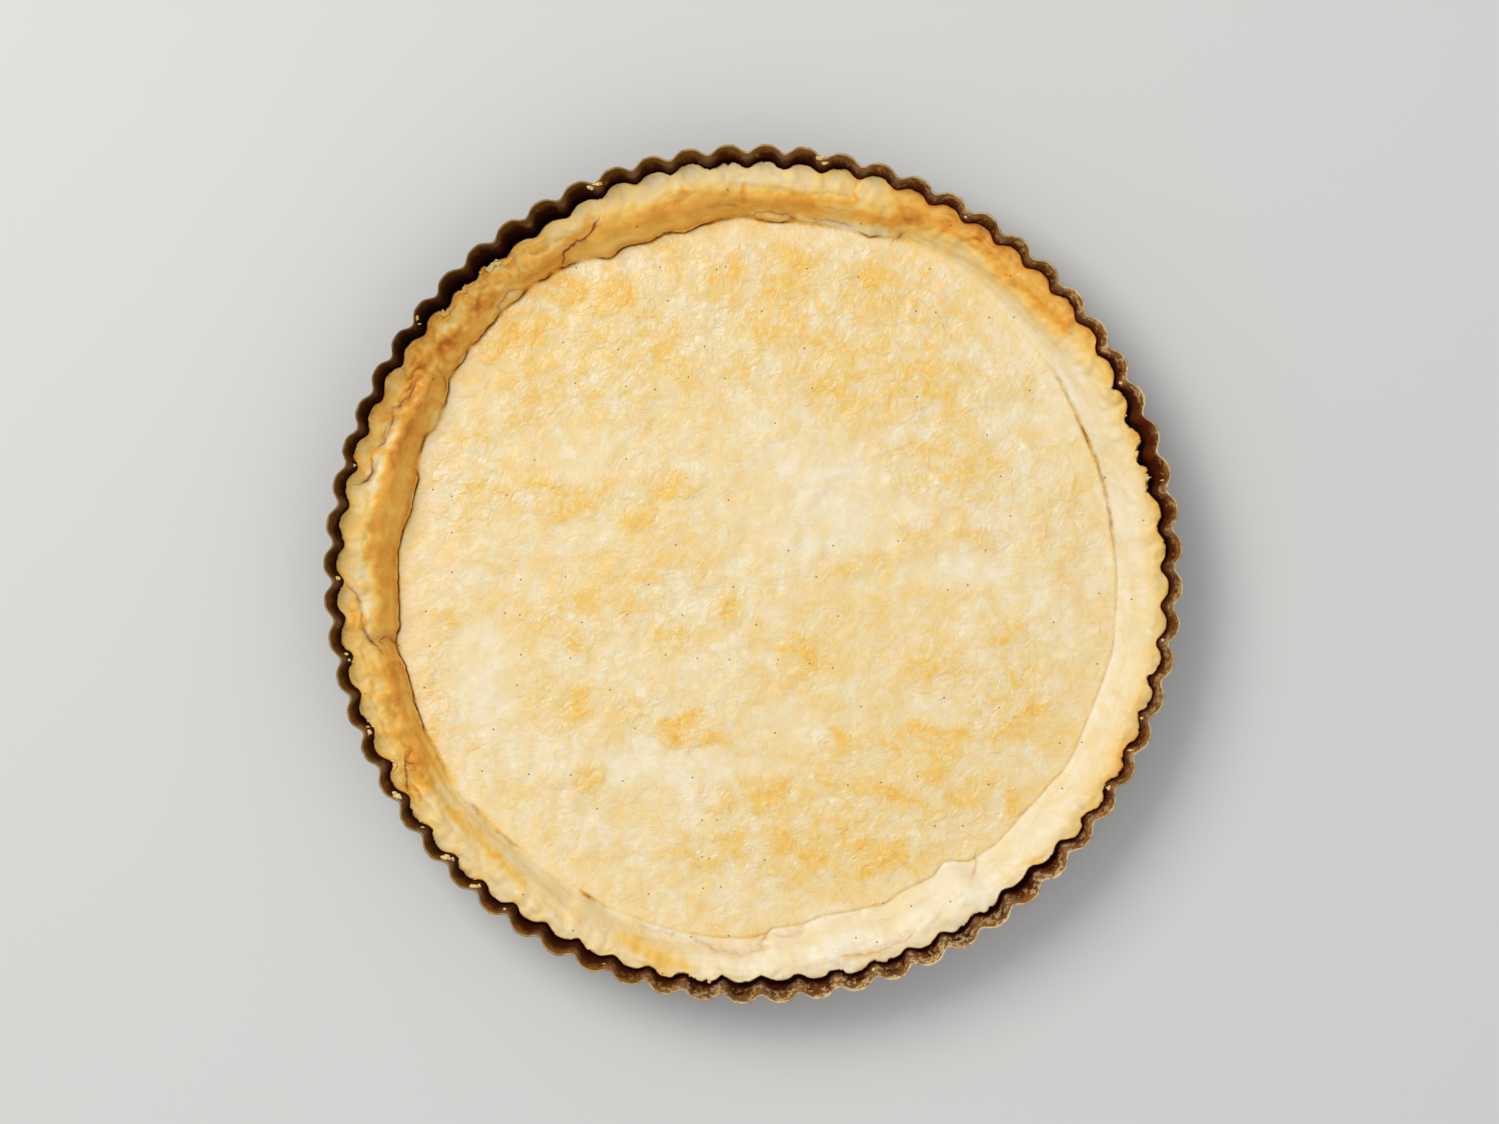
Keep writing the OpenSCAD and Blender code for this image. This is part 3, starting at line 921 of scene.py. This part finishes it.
def baked_pastry():
    """Shortcrust that browns by its toast field, patchy and blistered, with painted shade in its cracks and
    crevices.
    """
    if "baked_pastry" in bpy.data.materials:
        return bpy.data.materials["baked_pastry"]
    n = Nodes("baked_pastry")
    rough = n.field("rough")
    cloud = n.noise(17 * MM, 5.0, rough=0.60, warp=0.7)
    mottle = n.noise(6 * MM, 4.0, rough=0.6, warp=0.6)
    wrinkle = n.noise(3.2 * MM, warp=1.2)
    patchy = n.plus(n.span(cloud, 0.43, 0.57, -0.13, 0.13), n.span(mottle, 0.42, 0.58, -0.12, 0.12))
    patchy = n.plus(patchy, n.span(wrinkle, 0.3, 0.7, 0.07, -0.07))
    toast = n.plus(n.field("toast"), n.times(patchy, n.span(rough, 0, 1, 0.3, 1.1)))
    blister = n.times(blisters(n, wrinkle), rough)
    toast = n.math("SUBTRACT", toast, n.times(blister, 0.12))
    colour = shortcrust(n, toast)
    blush = n.span(n.noise(8 * MM), 0.52, 0.66, 0.0, 0.3)
    blush = n.times(blush, n.span(toast, 0.4, 0.9, 1.0, 0.0))
    colour = n.mix(blush, colour, n.mix(0.5, colour, linear(246, 208, 176)))
    # Painted shadow along each crevice, and round it a browner band that is partly browning and partly
    # painted shade
    away = n.math("ABSOLUTE", n.field("crevice"))
    crevice_shadow = n.times(n.span(away, 0.2, 1.3, 1.0, 0.0), n.field("crevice_shade"))
    # Painted shade in the crease's crack and painted shadows of the crevices, broken up by noise
    painted_shade = n.math("MAXIMUM", n.span(n.field("crack_shade"), 0.2, 0.8, 0.0, 0.95), crevice_shadow)
    painted_shade = n.times(painted_shade, n.span(n.noise(2.8 * MM), 0.36, 0.56, 0.35, 1.0))
    crevice_browning_and_shade = n.times(n.span(away, 0.8, 4.0, 0.7, 0.0), n.field("crevice_shade"))
    colour = n.mix(crevice_browning_and_shade, colour, linear(206, 136, 44))
    colour = n.mix(painted_shade, colour, linear(116, 58, 2))
    colour = n.mix(pinholes(n), colour, linear(96, 56, 26))
    dull = n.math("SUBTRACT", n.span(mottle, 0.3, 0.7, 0.38, 0.58), n.span(rough, 0.6, 1.1, 0.0, 0.20))
    relief = n.bump(n.times(mottle, rough), 1.0 * MM, 0.6)
    relief = n.bump(blister, 0.25 * MM, 0.7, relief)
    relief = n.bump(n.times(wrinkle, rough), 0.9 * MM, 0.8, relief)
    relief = n.bump(crevice_shadow, -0.15 * MM, 0.5, relief)
    n.surface({
        "Base Color": colour,
        "Roughness": n.math("MAXIMUM", dull, painted_shade),
        "Specular IOR Level": 0.45,
        "Subsurface Weight": 0.10,
        "Subsurface Radius": (1.0, 0.7, 0.35),
        "Subsurface Scale": 1.0 * MM,
        "Normal": relief,
    })
    return n.material


def varnish_and_shade(n, cloud, bare_and_lit):
    """The baked-on coat: cloudy browns, and an even dark brown where nothing has flaked, which on the ring's
    side away from the light is painted shade.
    """
    coat = n.ramp(cloud, [
        (0.38, 50, 26, 11), (0.45, 76, 42, 16), (0.52, 126, 80, 32), (0.59, 98, 47, 21), (0.68, 186, 138, 72),
    ])
    return n.mix(n.span(bare_and_lit, 0, 1, 0.9, 0.0), coat, linear(44, 21, 4))


def worn_edges(n, streak, bare_and_lit, inside, height):
    """How worn the flutes' inner valleys and outer crests are, less so low on the ring's outside and on its
    shaded side, where this stands in for shade.
    """
    worn = n.times(n.field("worn"), n.span(streak, 0.25, 0.65, 0.4, 1.0))
    worn = n.times(worn, n.span(bare_and_lit, 0.0, 0.3, 0.3, 1.0))
    return n.times(worn, n.math("MAXIMUM", inside, n.span(height, 4 * MM, 20 * MM, 0.3, 1.0)))


def flecks_and_glints(n, crust, bare_and_lit, inside, height):
    """Pale clumps of flaked coat that are also painted glints, on the ring's lit side, fewer low on its
    outside, and faint ones all over.
    """
    clumped = n.plus(crust, n.span(n.noise(9 * MM, 2.0), 0.35, 0.65, -0.07, 0.07))
    fleck_and_glint = n.times(n.span(clumped, 0.54, 0.58), n.span(bare_and_lit, 0.55, 1.0))
    fleck_and_glint = n.times(fleck_and_glint, n.math("MAXIMUM", inside, n.span(height, 10 * MM, 21 * MM, 0.15, 1.0)))
    return n.math("MAXIMUM", fleck_and_glint, n.times(n.span(crust, 0.68, 0.72), 0.25))


def scorch_and_gap_shade(n, cloud, crust, inside):
    """How dark the ring is painted low inside: burnt residue and painted shade in the gap by the pastry, with
    a ragged edge, and fainter outside.
    """
    depth = n.plus(n.field("scorched_and_shaded"), n.span(cloud, 0.2, 0.8, 3.0 * MM, -3.0 * MM))
    depth = n.plus(depth, n.span(crust, 0.2, 0.8, 1.5 * MM, -1.5 * MM))
    return n.times(n.span(depth, -2.0 * MM, 2.0 * MM, 0.0, 0.95), n.span(inside, 0, 1, 0.4, 1.0))


def patina_steel():
    """Steel coated by years of baking: dark varnish, painted shade on the ring's side away from the light, a
    painted golden sheen near the rim, worn edges, pale flecks that are partly painted glints, and a cut edge
    with a painted highlight.
    """
    n = Nodes("patina_steel")
    height = n.add("ShaderNodeSeparateXYZ", {"Vector": n.place}).outputs["Z"]
    inside = n.field("inside")
    # How flaked the coat is, which also stands for how lit this side of the ring is: low values paint the
    # shaded side darker
    bare_and_lit = n.span(n.field("flaked_and_lit"), 0.0, 0.8)
    cloud = n.noise(4.5 * MM, 4.0, (1, 1, 0.5), rough=0.6, warp=0.6)
    crust = n.noise(1.6 * MM, 3.0, (1, 1, 0.5), rough=0.6)
    streak = n.noise(2.5 * MM, 3.0, (1, 1, 0.25))
    worn = worn_edges(n, streak, bare_and_lit, inside, height)
    colour = n.mix(n.span(worn, 0.2, 0.95, 0.0, 0.55), varnish_and_shade(n, cloud, bare_and_lit), linear(152, 122, 92))
    # Painted sheen: a golden band up towards the rim, brighter on the ring's lit side and weaker on worn
    # edges
    sheen = n.ramp(bare_and_lit, [(0, 100, 57, 8), (0.5, 172, 116, 28), (0.8, 168, 120, 58), (1, 172, 126, 72)])
    upper = n.times(n.span(height, 18.5 * MM, 24.0 * MM, 0.0, 0.44), n.span(worn, 0, 1, 1.0, 0.45))
    colour = n.mix(upper, colour, sheen)
    # Pale flecks: flaked coat, and painted glints on the ring's lit side
    fleck_and_glint = flecks_and_glints(n, crust, bare_and_lit, inside, height)
    colour = n.mix(n.times(fleck_and_glint, 0.72), colour, linear(234, 206, 156))
    # Burnt residue and painted shade low inside, in the gap by the pastry, darkest on the ring's shaded side
    burnt_and_shaded = n.mix(bare_and_lit, linear(30, 9, 2), linear(88, 34, 10))
    colour = n.mix(scorch_and_gap_shade(n, cloud, crust, inside), colour, burnt_and_shaded)
    # The cut edge of the rim: bare metal with a painted highlight, brighter on the ring's lit side
    cut = n.times(n.field("cut"), n.span(streak, 0.35, 0.6, 0.3, 0.8))
    cut = n.times(cut, n.span(bare_and_lit, 0, 1, 0.15, 1.0))
    colour = n.mix(cut, colour, linear(218, 200, 158))
    rough = n.plus(n.span(crust, 0.3, 0.7, -0.1, 0.1), n.span(bare_and_lit, 0, 1, 0.75, 0.42))
    pits = n.bump(crust, 0.3 * MM, 0.8)
    n.surface({
        "Base Color": colour,
        "Metallic": n.math("MAXIMUM", n.times(fleck_and_glint, 0.5), n.span(inside, 0, 1, 0.5, 0.0)),
        "Roughness": n.math("MINIMUM", rough, n.span(inside, 0, 1, 0.42, 1.0)),
        "Specular IOR Level": 0.03,
        "Normal": n.bump(streak, 0.15 * MM, 0.5, pits),
    })
    return n.material


def tinned_steel():
    """The loose base's tinplate: greyed, with rings from spinning and brown stains from baking."""
    n = Nodes("tinned_steel")
    parts = n.add("ShaderNodeSeparateXYZ", {"Vector": n.place}).outputs
    away = n.add("ShaderNodeVectorMath", {0: n.place}, operation="LENGTH").outputs["Value"]
    rings = n.add("ShaderNodeCombineXYZ", {"X": away, "Z": n.times(parts["Z"], 0.1)}).outputs[0]
    spun = n.add("ShaderNodeTexNoise", {"Vector": rings, "Scale": 1 / (1.1 * MM), "Detail": 3.0})
    spun = spun.outputs["Fac"]
    stain = n.noise(15 * MM, 5.0, rough=0.66, warp=0.5)
    dots = n.noise(1.5 * MM, 2.0)
    colour = n.ramp(stain, [
        (0.3, 160, 152, 140), (0.5, 148, 136, 116), (0.62, 132, 110, 82), (0.78, 104, 76, 48),
    ])
    edge = n.plus(n.span(away, 98 * MM, 118 * MM, 0.0, 0.55), n.span(stain, 0.4, 0.6, -0.2, 0.3))
    colour = n.mix(n.span(edge, 0.0, 0.8), colour, linear(92, 58, 28))
    n.surface({
        "Base Color": colour,
        "Metallic": 0.9,
        "Roughness": n.span(spun, 0.3, 0.7, 0.30, 0.48),
        "Normal": n.bump(dots, 0.03 * MM, 0.5, n.bump(spun, 0.05 * MM, 0.6)),
    })
    return n.material


def plaster():
    """The studio floor's pale matt surface."""
    n = Nodes("plaster")
    colour = n.mix(n.noise(0.4, 2.0), linear(208, 208, 204), linear(214, 214, 210))
    n.surface({"Base Color": colour, "Roughness": 0.7})
    return n.material


# --- studio ---

def studio_floor():
    """A pale floor that the pan stands on."""
    half, level = 5.0, -0.02 * MM
    corners = [(-half, -half, level), (half, -half, level), (half, half, level), (-half, half, level)]
    floor = mesh_object("studio_floor", corners, [(0, 1, 2, 3)], {})
    floor.data.materials.append(plaster())


def soft_light(name, place, size, power, colour):
    """A square area light that points at the pan."""
    lamp = bpy.data.lights.new(name, "AREA")
    lamp.size = size
    lamp.energy = power
    lamp.color = colour
    light = in_scene(name, lamp)
    light.location = place
    light.rotation_euler = (-Vector(place)).to_track_quat("-Z", "Y").to_euler()


def studio_light():
    """Window-like light from the upper left, a weak fill, and a pale surround."""
    soft_light("window", place=(-0.85, 0.67, 1.30), size=0.95, power=17.3, colour=(1.0, 0.985, 0.95))
    soft_light("fill", place=(0.9, -0.8, 1.3), size=1.6, power=4, colour=(0.97, 0.98, 1.0))
    world = bpy.data.worlds.new("surround")
    world.use_nodes = True
    background = world.node_tree.nodes["Background"]
    background.inputs["Color"].default_value = (0.93, 0.95, 1.0, 1)
    background.inputs["Strength"].default_value = 0.55
    bpy.context.scene.world = world
    bpy.context.scene.view_settings.view_transform = "Standard"


def camera():
    """The camera straight above, turned a little, with the pan just right of and below its centre."""
    turn = math.radians(1.65)
    distance = 1.25
    right, up = -1.37 * MM, 3.72 * MM
    view = bpy.data.cameras.new("camera")
    view.sensor_width = 36
    view.lens = 99.5
    eye = in_scene("camera", view)
    eye.location = (
        right * math.cos(turn) - up * math.sin(turn),
        right * math.sin(turn) + up * math.cos(turn),
        RING_H + distance,
    )
    eye.rotation_euler = (0, 0, turn)
    bpy.context.scene.camera = eye


camera()
studio_light()
studio_floor()
fluted_ring()
loose_base()
pastry_shell()
crumbs()
torn_bits()
